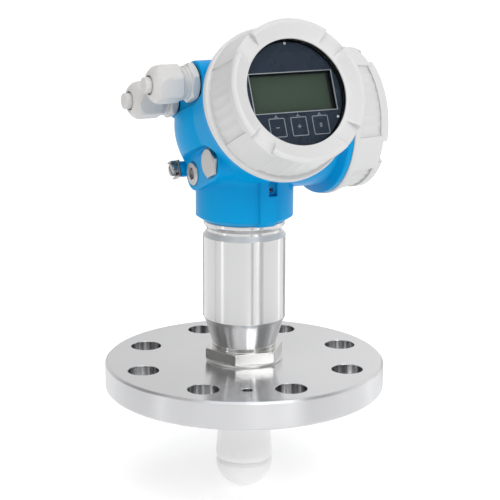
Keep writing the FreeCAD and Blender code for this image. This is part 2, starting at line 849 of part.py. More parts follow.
def gland_cap(side):
    """Hexagon cap with a domed end and a cone inside that squeezes the seal."""
    shoulder = cap_top - cap_dome
    middle = Vector(cap_face_r + (cap_round_r - cap_face_r) * 0.78, 0, shoulder + cap_dome * 0.66)
    dome = Part.Arc(Vector(cap_round_r, 0, shoulder), middle, Vector(cap_face_r, 0, cap_top))
    line = [Vector(cap_face_r, 0, cap_top), Vector(0, 0, cap_top), Vector(0, 0, cap_foot),
            Vector(cap_round_r - 0.7, 0, cap_foot), Vector(cap_round_r, 0, cap_foot + 0.7),
            Vector(cap_round_r, 0, shoulder)]
    edges = [Part.makeLine(a, b) for a, b in zip(line, line[1:])]
    profile = Part.Wire(Part.__sortEdges__(edges + [dome.toShape()]))
    body = Part.Face(profile).revolve(ORIGIN, UP, 360)
    body = body.common(hexagon(gland_flats, cap_foot, cap_top))
    room_r = gland_seal_r + seat_gap
    cone = room_r - cap_mouth_r
    hollow = turned([(0, cap_foot - 1), (gland_neck_r + thread_gap, cap_foot - 1),
                     (gland_neck_r + thread_gap, seal_low), (room_r, seal_low),
                     (room_r, seal_high + seat_gap - cone), (cap_mouth_r, seal_high + seat_gap),
                     (cap_mouth_r, cap_top + 1), (0, cap_top + 1)])
    return on_gland(body.cut(hollow), side)


def gland_seal(side):
    cone = gland_seal_r + seat_gap - cap_mouth_r
    body = turned([(stopper_r, seal_low), (gland_seal_r, seal_low), (gland_seal_r, seal_high - cone),
                   (gland_seal_r - cone, seal_high), (stopper_r, seal_high)])
    return on_gland(body, side)


def gland_stopper(side):
    """Blanking pin pushed through the seal."""
    high = cap_top + stopper_proud
    body = disc(stopper_r - run_gap, high - stopper_length, high)
    return on_gland(body.makeFillet(0.8, edges_at(body, high, stopper_r - run_gap)), side)


# Blanking plugs in the two lower entries

def on_plug(shape, side):
    local = placed(shifted(shape, z=plug_face), TO_LEFT)
    return placed(shifted(local, y=-side * plug_spread, z=plug_height), HEAD)


def hex_plug():
    high = plug_washer_thick + hex_plug_head
    body = crowned_hexagon(hex_plug_flats, plug_washer_thick, high, crown_low=False)
    body = body.fuse(disc(plug_entry_dia / 2 - run_gap, -plug_thread, plug_washer_thick))
    return on_plug(body, 1)


def hex_plug_washer():
    return on_plug(ring(hex_plug_flats / 2 - 0.1, plug_entry_dia / 2, 0, plug_washer_thick), 1)


def socket_plug():
    high = socket_plug_proud
    radius = plug_entry_dia / 2 - run_gap
    body = disc(radius, -plug_thread, high)
    body = body.makeChamfer(socket_plug_chamfer, edges_at(body, high, radius))
    body = body.cut(ring(radius + 1, radius - socket_plug_gap, -1.5, 0.2))
    return on_plug(body.cut(hexagon(socket_flats, high - socket_depth, high + 1)), -1)


# Ground terminal

def ground_clamp():
    """Bent clamp plate with a tab that keeps the wire under the screw."""
    low = ground_face
    plate = box(clamp_height, clamp_width, clamp_thick, z=low)
    tab = box(clamp_thick, clamp_width * 0.6, clamp_tab, x=clamp_height / 2 - clamp_thick / 2, z=low)
    stop = box(clamp_thick, clamp_width, 3.0, x=-clamp_height / 2 + clamp_thick / 2, z=low)
    body = plate.fuse([tab, stop]).removeSplitter()
    return ground_axis(body.cut(disc(ground_screw_dia / 2 + run_gap, low - 1, low + clamp_thick + 1)))


def ground_washer():
    low = ground_face + clamp_thick
    body = ring(ground_head_r - 0.2, ground_screw_dia / 2 + run_gap, low, low + ground_washer_thick)
    return ground_axis(body.cut(box(0.8, 10, 3, y=5, z=low - 1)))


def ground_screw():
    low = ground_face + clamp_thick + ground_washer_thick
    high = low + ground_head_thick
    body = disc(ground_head_r, low, high)
    body = body.makeFillet(0.9, edges_at(body, high, ground_head_r))
    body = body.fuse(disc(ground_screw_dia / 2, ground_face - ground_screw_length + 1, low))
    slot = box(4 * ground_head_r, ground_slot, ground_head_thick, z=high - 1.5)
    return ground_axis(body.cut(placed(slot, Placement(ORIGIN, Rotation(UP, 25)))))


def nodes():
    """Every sub-part by name."""
    parts = {
        "flange": flange(), "adapter_seal": adapter_seal(), "adapter": adapter(),
        "neck": neck(), "neck_seal": neck_seal(), "retaining_clip": retaining_clip(),
        "antenna_sleeve": antenna_sleeve(), "antenna_dome": antenna_dome(),
        "dome_seal": dome_seal(), "waveguide": waveguide(), "feed_cone": feed_cone(),
        "isolator": isolator(), "radar_module": radar_module(),
        "housing": housing(), "lock_screw": lock_screw(),
        "electronics_pod": electronics_pod(), "display_bracket": display_bracket(),
        "display_module": display_module(), "module_pins": module_pins(),
        "screen": screen(), "screen_bezel": screen_bezel(),
        "terminal_block": terminal_block(), "terminal_screws": terminal_screws(),
        "hex_plug": hex_plug(), "hex_plug_washer": hex_plug_washer(),
        "socket_plug": socket_plug(),
        "ground_clamp": ground_clamp(), "ground_washer": ground_washer(),
        "ground_screw": ground_screw(),
        "display_cover": display_cover(), "sight_glass": sight_glass(),
        "glass_seal": glass_seal(), "glass_retainer": glass_retainer(),
        "display_cover_seal": on_display(cover_seal()),
        "terminal_cover": terminal_cover(), "terminal_cover_seal": on_terminals(cover_seal()),
    }
    for name, side in (("front", 1), ("rear", -1)):
        parts[name + "_gland_washer"] = gland_washer(side)
        parts[name + "_gland_body"] = gland_body(side)
        parts[name + "_gland_cap"] = gland_cap(side)
        parts[name + "_gland_seal"] = gland_seal(side)
        parts[name + "_gland_stopper"] = gland_stopper(side)
    return parts


os.makedirs("parts", exist_ok=True)
for name, shape in nodes().items():
    shape.exportStep("parts/" + name + ".step")
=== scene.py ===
"""Radar level transmitter: finishes, fine pieces, camera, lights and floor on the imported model."""
import json
import math

import bmesh
import bpy
from bpy.props import FloatProperty, FloatVectorProperty, PointerProperty
from mathutils import Matrix, Vector


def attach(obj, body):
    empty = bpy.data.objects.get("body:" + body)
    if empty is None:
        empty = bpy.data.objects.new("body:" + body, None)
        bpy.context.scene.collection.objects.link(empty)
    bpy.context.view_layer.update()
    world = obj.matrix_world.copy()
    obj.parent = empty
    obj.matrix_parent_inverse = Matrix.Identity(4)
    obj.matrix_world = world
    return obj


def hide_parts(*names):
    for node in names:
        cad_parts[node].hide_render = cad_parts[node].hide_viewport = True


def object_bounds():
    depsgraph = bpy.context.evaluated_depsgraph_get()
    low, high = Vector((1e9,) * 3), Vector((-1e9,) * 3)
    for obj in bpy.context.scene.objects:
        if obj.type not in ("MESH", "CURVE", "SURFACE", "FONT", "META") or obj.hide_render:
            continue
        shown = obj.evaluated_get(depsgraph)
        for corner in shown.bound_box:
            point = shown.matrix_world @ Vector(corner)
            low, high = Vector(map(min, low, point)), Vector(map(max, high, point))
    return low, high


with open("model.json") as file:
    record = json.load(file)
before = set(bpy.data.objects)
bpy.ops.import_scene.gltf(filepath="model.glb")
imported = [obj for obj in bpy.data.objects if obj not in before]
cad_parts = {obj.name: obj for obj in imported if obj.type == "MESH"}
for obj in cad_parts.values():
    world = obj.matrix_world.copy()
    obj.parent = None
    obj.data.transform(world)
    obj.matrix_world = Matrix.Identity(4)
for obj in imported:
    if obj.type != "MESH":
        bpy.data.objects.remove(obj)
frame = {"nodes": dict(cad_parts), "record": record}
NODES = frame["nodes"]
SLOTS = {entry["node"]: entry["material_slot"] for entry in frame["record"]["subparts"]}
BODY_OF = {node: body for body, group in frame["record"]["behaviour"]["bodies"].items()
           for node in group}
CAD_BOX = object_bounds()

bl_info = {
    "name": "Radar level transmitter",
    "version": (1, 0, 0),
    "blender": (4, 5, 0),
    "location": "View3D > Sidebar > Transmitter",
    "description": "Finishes and fine pieces of a flanged radar level transmitter",
    "category": "Object",
}

HEAD_TILT = math.radians(23.0)
HEAD_HEIGHT = 0.189
BARREL_R = 0.046
DISPLAY_SEAT = 0.050
TERMINAL_SEAT = 0.058
SCREW_LENGTH = 0.011
THREAD_PITCH = 0.002
FLANGE_R = 0.100
FLANGE_THICK = 0.020
MODULE_FRONT = 0.0773
SCREEN_UP = 0.00135
SCREEN_HALF = Vector((0.0284, 0.01265))
MODULE_POCKET_BACK = 0.005
RIM_HEIGHT = 0.005
WALL_LOW_R = 0.0499
WALL_HIGH_R = 0.0472
LUG_LOW_R = 0.0512
LUG_HIGH_R = 0.0494
RING_R = 0.0484
RING_THICK = 0.0065
PRINT_THICK = 0.00003
PRINT_LIFT = 0.00002
PLAY = 0.0002
GRIP_REACH = 0.0026
EDGE_GAP = 0.001
GLAND_FACE = 0.0415
GLAND_SPREAD = 0.019
GLAND_HEIGHT = 0.0273
GLAND_NECK_R = 0.0104
GLAND_NECK_LOW = 0.0120
GLAND_NECK_HIGH = 0.0246
GLAND_HALF_PITCH = 0.00075
WELD = 0.000002
FLAT_ANGLE = math.radians(0.4)
EDGE_ANGLE = math.radians(28.0)
SHARP_ANGLE = math.radians(35)
FLOOR_R = 6.0
SENSOR = 36.0
BARE_METAL = (0.62, 0.63, 0.65, 1.0)
HEAD = Matrix.Translation((0.0, 0.0, HEAD_HEIGHT)) @ Matrix.Rotation(-HEAD_TILT, 4, "X")
TO_DISPLAY = HEAD @ Matrix.Rotation(math.radians(90), 4, "X")
TO_TERMINALS = HEAD @ Matrix.Rotation(math.radians(90), 4, "Y")
TO_GLANDS = HEAD @ Matrix.Rotation(math.radians(-90), 4, "Y")


# Shader maths

class Value:
    """A shader socket that takes part in Python sums."""

    def __init__(self, tree, socket):
        self.tree = tree
        self.socket = socket

    def __add__(self, other):
        return self.tree.maths("ADD", self, other)

    def __sub__(self, other):
        return self.tree.maths("SUBTRACT", self, other)

    def __rsub__(self, other):
        return self.tree.maths("SUBTRACT", other, self)

    def __mul__(self, other):
        return self.tree.maths("MULTIPLY", self, other)

    def __truediv__(self, other):
        return self.tree.maths("DIVIDE", self, other)

    def __pow__(self, other):
        return self.tree.maths("POWER", self, other)

    def __abs__(self):
        return self.tree.maths("ABSOLUTE", self)

    __radd__ = __add__
    __rmul__ = __mul__


class Tree:
    """A shader tree that is written as Python sums."""

    def __init__(self, tree, place):
        self.tree = tree
        self.tree.nodes.clear()
        self.place = self.make("ShaderNodeTexCoord").outputs[place]

    def make(self, kind, settings=None, **inputs):
        """A node of that type; settings go on first, then the values or links of its sockets."""
        node = self.tree.nodes.new(kind)
        for key, value in (settings or {}).items():
            if key == "stops":
                self.set_stops(node.color_ramp, value)
            else:
                setattr(node, key, value)
        for key, value in inputs.items():
            self.plug(node, key, value)
        return node

    def set_stops(self, ramp, stops):
        while len(ramp.elements) < len(stops):
            ramp.elements.new(1.0)
        for element, (position, grey) in zip(ramp.elements, stops):
            element.position = position
            element.color = (grey, grey, grey, 1.0)

    def plug(self, node, key, value):
        matches = [s for s in node.inputs if s.identifier == key or s.name == key.replace("_", " ")]
        socket = next((s for s in matches if s.identifier == key), matches[0])
        if isinstance(value, Value):
            value = value.socket
        if isinstance(value, bpy.types.NodeSocket):
            self.tree.links.new(value, socket)
        else:
            socket.default_value = value

    def maths(self, operation, *terms):
        node = self.make("ShaderNodeMath", {"operation": operation})
        for socket, term in zip(node.inputs, terms):
            if isinstance(term, Value):
                self.tree.links.new(term.socket, socket)
            else:
                socket.default_value = term
        return Value(self, node.outputs[0])

    def axes(self, place=None):
        """The three numbers of a place on the piece, in metres."""
        split = self.make("ShaderNodeSeparateXYZ", Vector=place or self.place)
        return [Value(self, split.outputs[k]) for k in range(3)]

    def turned_place(self, matrix):
        """The place on the piece, seen in the frame of the matrix."""
        back = matrix.inverted()
        angles = back.to_euler()
        node = self.make("ShaderNodeMapping", {"vector_type": "POINT"}, Vector=self.place,
                         Location=back.translation, Rotation=angles)
        return node.outputs["Vector"]

    def noise(self, scale, detail=2.0, roughness=0.5, place=None):
        node = self.make("ShaderNodeTexNoise", Vector=place or self.place, Scale=scale, Detail=detail,
                         Roughness=roughness)
        return Value(self, node.outputs["Fac"])

    def streaks(self, along, scale, detail=3.0):
        """Noise that changes only with one number, such as a height or a radius."""
        joined = self.make("ShaderNodeCombineXYZ", X=along)
        return self.noise(scale, detail, 0.6, joined.outputs[0])

    def ramp(self, value, stops):
        node = self.make("ShaderNodeValToRGB", {"stops": stops}, Fac=value)
        return Value(self, node.outputs["Color"])

    def blend(self, factor, first, second):
        """Between two colours, or colour sockets."""
        node = self.make("ShaderNodeMix", {"data_type": "RGBA"}, Factor_Float=factor, A_Color=first,
                         B_Color=second)
        return node.outputs[2]

    def step(self, value, start, end):
        """Rises from 0 to 1 while the value goes from start to end."""
        node = self.make("ShaderNodeMapRange", {"interpolation_type": "SMOOTHSTEP", "clamp": True},
                         Value=value, From_Min=start, From_Max=end)
        return Value(self, node.outputs["Result"])

    def band(self, value, low, high, soft):
        """1 between two limits, with soft sides."""
        return self.step(value, low - soft, low) * (1.0 - self.step(value, high, high + soft))


class Finish(Tree):
    """One material, with a Principled shader at the end of its tree."""

    def __init__(self, name, **constants):
        self.material = bpy.data.materials.new(name)
        self.material.use_nodes = True
        super().__init__(self.material.node_tree, "Object")
        self.shader = self.make("ShaderNodeBsdfPrincipled")
        self.output = self.make("ShaderNodeOutputMaterial", Surface=self.shader.outputs["BSDF"])
        self.feed(**constants)

    def feed(self, **inputs):
        """Values or links for the Principled shader."""
        for key, value in inputs.items():
            self.plug(self.shader, key, value)

    def bump(self, height, depth, strength=1.0, easing=0.0):
        """Relief of that depth, over edges that look rounded by the easing."""
        node = self.make("ShaderNodeBump", Strength=strength, Distance=depth, Height=height)
        if easing:
            soft = self.make("ShaderNodeBevel", {"samples": 8}, Radius=easing)
            self.plug(node, "Normal", soft.outputs["Normal"])
        self.feed(Normal=node.outputs["Normal"])


def rgba(colour):
    return (colour[0], colour[1], colour[2], 1.0)


def scaled(colour, factor):
    return tuple(min(1.0, part * factor) for part in colour[:3]) + (1.0,)


# Finishes

def powder_paint(colour):
    """Glossy powder coat with a fine orange peel; the covers' threads are cut through it."""
    finish = Finish("powder_paint", Specular_IOR_Level=0.08)
    cloud = finish.noise(26.0, 3.0)
    peel = finish.noise(900.0, 2.0, 0.45) * 0.6 + finish.noise(260.0, 2.0) * 0.6
    thread, bare = 0.0, 0.0
    for matrix, seat in ((TO_DISPLAY, DISPLAY_SEAT), (TO_TERMINALS, TERMINAL_SEAT)):
        x, y, z = finish.axes(finish.turned_place(matrix))
        radius = (x * x + y * y) ** 0.5
        zone = finish.band(z, seat + 2 * PLAY, seat + SCREW_LENGTH + THREAD_PITCH, PLAY)
        zone = zone * finish.band(radius, BARREL_R - 2 * PLAY, BARREL_R + 2 * PLAY, PLAY)
        turns = finish.maths("PINGPONG", z, THREAD_PITCH / 2) * (2 / THREAD_PITCH)
        thread = turns * zone + thread
        bare = zone + bare
    painted = finish.blend(cloud, scaled(colour, 0.93), scaled(colour, 1.06))
    finish.feed(Base_Color=finish.blend(bare, painted, BARE_METAL), Metallic=bare)
    finish.feed(Roughness=finish.noise(60.0, 3.0) * 0.10 + 0.27)
    finish.bump(peel * 0.08 + thread, 0.0006, 0.5, easing=0.0016)
    return finish.material


def moulded_cover(colour):
    """Painted cover with a very fine grain, and painted shade that darkens its corners."""
    finish = Finish("moulded_cover", Coat_Weight=0.10, Coat_Roughness=0.3)
    cloud = finish.noise(22.0, 3.0)
    painted_shade_ao_node = finish.make("ShaderNodeAmbientOcclusion", {"samples": 6, "only_local": True},
                         Distance=0.004)
    painted_shade_ao = Value(finish, painted_shade_ao_node.outputs["AO"])
    unshaded_colour = finish.blend(cloud, scaled(colour, 0.975), scaled(colour, 1.02))
    # Painted shade: the colour drops to 0.93 of the cover's where ambient occlusion finds a surface
    # within 4 mm.
    finish.feed(Base_Color=finish.blend(finish.step(painted_shade_ao, 0.35, 0.95), scaled(colour, 0.93), unshaded_colour))
    finish.feed(Roughness=finish.noise(90.0, 3.0) * 0.12 + 0.36)
    finish.bump(finish.noise(1500.0, 2.0) + finish.noise(300.0, 2.0) * 0.4, 0.00004, 0.4, easing=0.0007)
    return finish.material


def turned_flange(colour):
    """Machined steel: fine rings on the faces, upright bands on the rim, and light and dark upright
    stripes of painted reflection inside the holes.
    """
    finish = Finish("turned_flange", Metallic=1.0, Anisotropic=0.85, Anisotropic_Rotation=0.25)
    x, y, z = finish.axes()
    radius = (x * x + y * y) ** 0.5
    rings = finish.streaks(radius, 2600.0, 4.0)
    broad = finish.streaks(radius, 180.0, 2.0)
    lines = finish.streaks(z, 3000.0, 4.0)
    upright = finish.make("ShaderNodeCombineXYZ", X=x, Y=y).outputs[0]
    bands = finish.noise(170.0, 3.0, 0.6, upright)
    sheen = finish.noise(26.0, 3.0, 0.5, upright)
    rim = finish.step(radius, FLANGE_R - 0.0020, FLANGE_R - 0.0012)
    wall = finish.band(z, 2 * PLAY, FLANGE_THICK - 2 * PLAY, PLAY) * (1.0 - rim)
    grain = rings * (1.0 - rim) + lines * rim
    cloud = finish.noise(18.0, 4.0) * (1.0 - rim) + sheen * rim
    tone = grain * 0.30 + cloud * 0.5 + broad * 0.20
    plain = finish.blend(tone, scaled(colour, 0.88), scaled(colour, 1.08))
    metal = finish.blend(rim, plain, finish.blend(tone, scaled(colour, 0.84), scaled(colour, 1.15)))
    # Painted reflection: upright light and dark stripes on the walls of the holes, from 0.30 to 1.25 of
    # the steel's colour.
    painted_bore_reflection = finish.blend(finish.step(bands, 0.38, 0.62), scaled(colour, 0.30), scaled(colour, 1.25))
    finish.feed(Base_Color=finish.blend(wall, metal, painted_bore_reflection))
    finish.feed(Roughness=rim * 0.24 + grain * 0.05 + cloud * 0.03 + wall * 0.06 + 0.13)
    finish.bump(grain, 0.00002, 0.4, easing=0.0005)
    return finish.material


def polished_neck(colour):
    """Fine-ground tube with faint lines round it, which draw its reflections upright."""
    finish = Finish("polished_neck", Anisotropic=0.9, Anisotropic_Rotation=0.25)
    height = finish.axes()[2]
    lines = finish.streaks(height, 4200.0, 4.0)
    cloud = finish.noise(30.0, 3.0)
    finish.feed(Base_Color=finish.blend(lines * 0.5 + cloud * 0.5, scaled(colour, 0.95),
                                        scaled(colour, 1.04)))
    facing = finish.make("ShaderNodeNewGeometry")
    chamfer = finish.step(finish.axes(facing.outputs["Normal"])[2], 0.15, 0.45)
    finish.feed(Metallic=1.0 - chamfer * 0.65)
    finish.feed(Roughness=lines * 0.04 + cloud * 0.04 + chamfer * 0.15 + 0.20)
    finish.bump(lines, 0.000006, 0.4, easing=0.0004)
    return finish.material


def plain_steel(name, colour, low, spread, scale=220.0, easing=0.0003):
    """Steel of the small pieces, with fine scratches and a little tarnish."""
    finish = Finish(name, Metallic=1.0)
    cloud = finish.noise(scale, 4.0, 0.6)
    scratch = finish.noise(1400.0, 3.0, 0.7)
    finish.feed(Base_Color=finish.blend(cloud, scaled(colour, 0.85), scaled(colour, 1.08)))
    finish.feed(Roughness=cloud * spread + scratch * spread * 0.5 + low)
    finish.bump(scratch, 0.00002, 0.4, easing=easing)
    return finish.material


def plain_plastic(name, colour, low=0.35, grain=900.0, depth=0.00004, variety=0.05, easing=0.0005,
                  **constants):
    """Moulded plastic or rubber with a fine grain."""
    finish = Finish(name, **constants)
    cloud = finish.noise(60.0, 3.0)
    finish.feed(Base_Color=finish.blend(cloud, scaled(colour, 1.0 - variety),
                                        scaled(colour, 1.0 + variety)))
    finish.feed(Roughness=cloud * 0.14 + low)
    finish.bump(finish.noise(grain, 3.0, 0.55), depth, 0.5, easing=easing)
    return finish.material


def gland_plastic(colour):
    """Polyamide of the glands, with the thread under each cap as relief."""
    finish = Finish("gland_plastic")
    cloud = finish.noise(60.0, 3.0)
    x, y, z = finish.axes(finish.turned_place(TO_GLANDS))
    local = z - GLAND_FACE
    hidden = finish.band(local, GLAND_NECK_LOW + 2 * PLAY, GLAND_NECK_HIGH - 2 * PLAY, PLAY)
    radii = []
    for side in (-1, 1):
        off = y + side * GLAND_SPREAD
        up = x - GLAND_HEIGHT
        radii.append((off * off + up * up) ** 0.5)
    nearest = finish.maths("MINIMUM", *radii)
    neck = hidden * finish.band(nearest, GLAND_NECK_R - PLAY, GLAND_NECK_R + PLAY, PLAY / 2)
    thread = finish.maths("PINGPONG", z, GLAND_HALF_PITCH) * (1 / GLAND_HALF_PITCH) * neck
    finish.feed(Base_Color=finish.blend(cloud, scaled(colour, 0.96), scaled(colour, 1.04)))
    finish.feed(Roughness=cloud * 0.14 + 0.34)
    finish.bump(finish.noise(900.0, 3.0) * 0.06 + thread, 0.0006, 0.5, easing=0.0007)
    return finish.material


def antenna_plastic(colour):
    """White fluoroplastic, turned, a little waxy."""
    finish = Finish("antenna_plastic", Subsurface_Weight=0.15, Subsurface_Radius=(0.004, 0.004, 0.004),
                    Subsurface_Scale=1.0)
    height = finish.axes()[2]
    lines = finish.streaks(height, 1500.0, 3.0)
    cloud = finish.noise(45.0, 3.0)
    finish.feed(Base_Color=finish.blend(cloud * 0.7 + lines * 0.3, scaled(colour, 0.95), rgba(colour)))
    finish.feed(Roughness=lines * 0.10 + 0.30)
    finish.bump(lines, 0.00003, 0.3, easing=0.0006)
    return finish.material


def display_film(colour):
    """Satin front film of the display; its sides and the pocket of the screen are painted near black as
    shade.
    """
    finish = Finish("display_film", Specular_IOR_Level=0.2)
    depth = finish.axes(finish.turned_place(TO_DISPLAY))[2]
    front = finish.step(depth, MODULE_FRONT - 0.0009, MODULE_FRONT - 0.0004)
    cloud = finish.noise(60.0, 3.0)
    film = finish.blend(cloud, scaled(colour, 0.92), scaled(colour, 1.08))
    # Painted shade: every face behind the front film, the pocket's walls too, gets 0.16 of the film's
    # colour.
    finish.feed(Base_Color=finish.blend(front, scaled(colour, 0.16), film))
    finish.feed(Roughness=cloud * 0.14 + (1.0 - front) * 0.2 + 0.20)
    finish.bump(finish.noise(1600.0, 3.0, 0.55), 0.000004, 0.5, easing=0.0003)
    return finish.material


def screen_film(colour):
    """Grey-green liquid crystal behind a satin film, with painted shade that darkens it towards its
    frame.
    """
    finish = Finish("screen_film", Specular_IOR_Level=0.25)
    x, y = finish.axes(finish.turned_place(TO_DISPLAY))[:2]
    side = finish.maths("MAXIMUM", abs(x) / SCREEN_HALF.x, abs(y - SCREEN_UP) / SCREEN_HALF.y)
    # Painted shade of the pocket's walls: the colour falls from 1.05 towards 0.6 of the crystal's near
    # the frame.
    shade = finish.ramp(side, [(0.0, 0.0), (0.80, 0.12), (0.97, 0.45), (1.0, 0.8)])
    cells = finish.noise(700.0, 2.0) * 0.25
    finish.feed(Base_Color=finish.blend(shade + cells, scaled(colour, 1.05), scaled(colour, 0.6)))
    finish.feed(Roughness=finish.noise(120.0, 2.0) * 0.08 + 0.26)
    finish.bump(finish.noise(1800.0, 2.0), 0.00001, 0.3)
    return finish.material


def window_glass():
    """Clear pane that lets light through and shines at its surface."""
    finish = Finish("window_glass")
    clear = finish.make("ShaderNodeBsdfTransparent", Color=(0.93, 0.945, 0.95, 1.0))
    facing = finish.make("ShaderNodeFresnel", IOR=1.45)
    haze = finish.noise(40.0, 3.0) * 0.01
    gloss = finish.make("ShaderNodeBsdfGlossy", Color=(0.9, 0.93, 0.95, 1.0), Roughness=haze + 0.03)
    share = Value(finish, facing.outputs["Fac"]) * 0.08
    mixed = finish.make("ShaderNodeMixShader", Fac=share)
    finish.tree.links.new(clear.outputs["BSDF"], mixed.inputs[1])
    finish.tree.links.new(gloss.outputs["BSDF"], mixed.inputs[2])
    finish.plug(finish.output, "Surface", mixed.outputs["Shader"])
    finish.tree.nodes.remove(finish.shader)
    return finish.material


def studio_card(name, light):
    """Card that only reflections see, as bright as its light."""
    finish = Finish(name, Roughness=0.9, Emission_Strength=light)
    cloud = finish.noise(2.0, 2.0)
    tone = (light, light, light, 1.0)
    finish.feed(Base_Color=finish.blend(cloud, scaled(tone, 0.9), tone))
    finish.feed(Emission_Color=(1.0, 1.0, 1.0, 1.0))
    return finish.material


def floor_finish():
    """Pale studio floor, lit a little from below as a light table is."""
    finish = Finish("studio_floor", Roughness=0.7, Specular_IOR_Level=0.1, Emission_Strength=0.34,
                    Emission_Color=(1.0, 1.0, 1.0, 1.0))
    cloud = finish.noise(3.0, 2.0)
    finish.feed(Base_Color=finish.blend(cloud, (0.86, 0.86, 0.86, 1.0), (0.88, 0.88, 0.88, 1.0)))
    return finish.material


def finishes(look):
    """The material of every slot of the record."""
    return {
        "flange_steel": turned_flange(look.flange_colour),
        "adapter_steel": plain_steel("adapter_steel", look.adapter_colour, 0.12, 0.08, 90.0, 0.0005),
        "neck_steel": polished_neck(look.neck_colour),
        "spring_steel": plain_steel("spring_steel", (0.17, 0.19, 0.22), 0.22, 0.20),
        "plug_steel": plain_steel("plug_steel", look.plug_colour, 0.20, 0.22),
        "module_metal": plain_steel("module_metal", BARE_METAL, 0.30, 0.15),
        "bezel_silver": plain_steel("bezel_silver", (0.46, 0.47, 0.49), 0.30, 0.15),
        "terminal_brass": plain_steel("terminal_brass", (0.72, 0.55, 0.25), 0.22, 0.15),
        "housing_paint": powder_paint(look.housing_colour),
        "cover_plastic": moulded_cover(look.cover_colour),
        "antenna_plastic": antenna_plastic(look.antenna_colour),
        "gland_plastic": gland_plastic(look.gland_colour),
        "pin_plastic": plain_plastic("pin_plastic", (0.70, 0.70, 0.70)),
        "module_plastic": plain_plastic("module_plastic", (0.012, 0.012, 0.014), 0.40),
        "display_plate": display_film(look.plate_colour),
        "screen_glass": screen_film(look.screen_colour),
        "terminal_plastic": plain_plastic("terminal_plastic", (0.05, 0.16, 0.08), 0.40),
        "insulator": plain_plastic("insulator", (0.78, 0.76, 0.70), 0.35),
        "gasket": plain_plastic("gasket", (0.72, 0.72, 0.71), 0.22, 700.0, 0.00003, 0.06, Metallic=0.8),
        "seal_rubber": plain_plastic("seal_rubber", (0.012, 0.012, 0.012), 0.50, 600.0, 0.00008, 0.2),
        "window_glass": window_glass(),
    }


MATERIALS = {}

# name, place, side and power
LIGHTS = (("key_light", (0.05, -2.15, 1.9), 1.4, 22.0),
          ("fill_light", (-2.1, -0.9, 1.3), 1.4, 4.2),
          ("side_light", (2.1, -0.5, 1.1), 1.4, 3.0),
          ("top_light", (0.1, 0.3, 2.4), 1.8, 10.0))
LIGHT_TARGET = Vector((0.0, 0.0, 0.12))

# bearing from the camera's stand in degrees, width, foot and head above the floor, and light
CARDS = ((-84.0, 0.016, 0.0, 0.5, 0.3), (-61.0, 0.040, 0.0, 0.5, 1.0),
         (21.0, 0.034, 0.0, 0.5, 0.2), (36.4, 0.052, 0.21, 0.5, 2.8),
         (46.0, 0.080, 0.0, 0.20, 0.35), (108.0, 0.040, 0.0, 0.5, 1.0),
         (142.0, 0.120, 0.0, 0.12, 0.2), (-158.0, 0.130, 0.0, 0.12, 0.2))


# Pieces

def add_piece(name, work, material, body, stands_for=()):
    """A finished bmesh as a piece that rides on a body."""
    mesh = bpy.data.meshes.new(name)
    work.to_mesh(mesh)
    work.free()
    piece = bpy.data.objects.new(name, mesh)
    bpy.context.scene.collection.objects.link(piece)
    mesh.materials.append(material)
    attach(piece, body)
    if stands_for:
        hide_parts(*stands_for)
    return piece


def joined(node):
    """A copy of a CAD node with its vertices joined and its flat faces whole."""
    work = bmesh.new()
    work.from_mesh(NODES[node].data)
    bmesh.ops.remove_doubles(work, verts=work.verts, dist=WELD)
    bmesh.ops.dissolve_limit(work, angle_limit=FLAT_ANGLE, verts=work.verts, edges=work.edges)
    return work


def eased(work, width):
    """Rounds the sharp edges of a copy."""
    sharp = [e for e in work.edges if len(e.link_faces) == 2 and e.calc_face_angle(0.0) > EDGE_ANGLE]
    bmesh.ops.bevel(work, geom=sharp, offset=width, offset_type="OFFSET", affect="EDGES",
                    segments=2, profile=0.5, material=-1, clamp_overlap=True)
    for face in work.faces:
        face.smooth = True
    return work


def calm_grip(work, place, height, wider, relief, flute_relief):
    """Softens the lugs of a cover about the middle surface of its grip, and the flutes in its wall."""
    back = place.inverted()
    ring_low = height - RING_THICK
    for vert in work.verts:
        x, y, z = back @ vert.co
        radius = math.hypot(x, y)
        share = (z - RIM_HEIGHT) / (ring_low - RIM_HEIGHT)
        wall = WALL_LOW_R + (WALL_HIGH_R - WALL_LOW_R) * share + wider
        lug = LUG_LOW_R + (LUG_HIGH_R - LUG_LOW_R) * share + wider
        middle = (wall + lug) / 2
        on_ring = abs(radius - RING_R - wider) < PLAY
        if -0.001 < share < 1.2 and abs(radius - middle) < GRIP_REACH and not on_ring:
            calm = middle + (radius - middle) * relief
            if radius < middle:
                calm = middle + (wall - middle) * relief + (radius - wall) * flute_relief
            scale = calm / radius
            vert.co = place @ Vector((x * scale, y * scale, z))


def sink_screen(work, depth):
    """Lowers the floor of the display's pocket and the screen on it."""
    back = TO_DISPLAY.inverted()
    for vert in work.verts:
        place = back @ vert.co
        low = MODULE_FRONT - MODULE_POCKET_BACK < place.z < MODULE_FRONT - EDGE_GAP
        if low and abs(place.y - SCREEN_UP) < SCREEN_HALF.y + EDGE_GAP:
            vert.co = TO_DISPLAY @ Vector((place.x, place.y, place.z - depth))


def add_eased(node, width, materials, work=None):
    """Replaces a CAD node by its copy, or a changed one, with rounded edges."""
    work = eased(work or joined(node), width)
    slot_name = SLOTS[node]
    piece = add_piece("eased_" + node, work, materials[slot_name], BODY_OF[node], (node,))
    piece.data.set_sharp_from_angle(angle=SHARP_ANGLE)
    weighted = piece.modifiers.new("even_normals", "WEIGHTED_NORMAL")
    weighted.keep_sharp = True


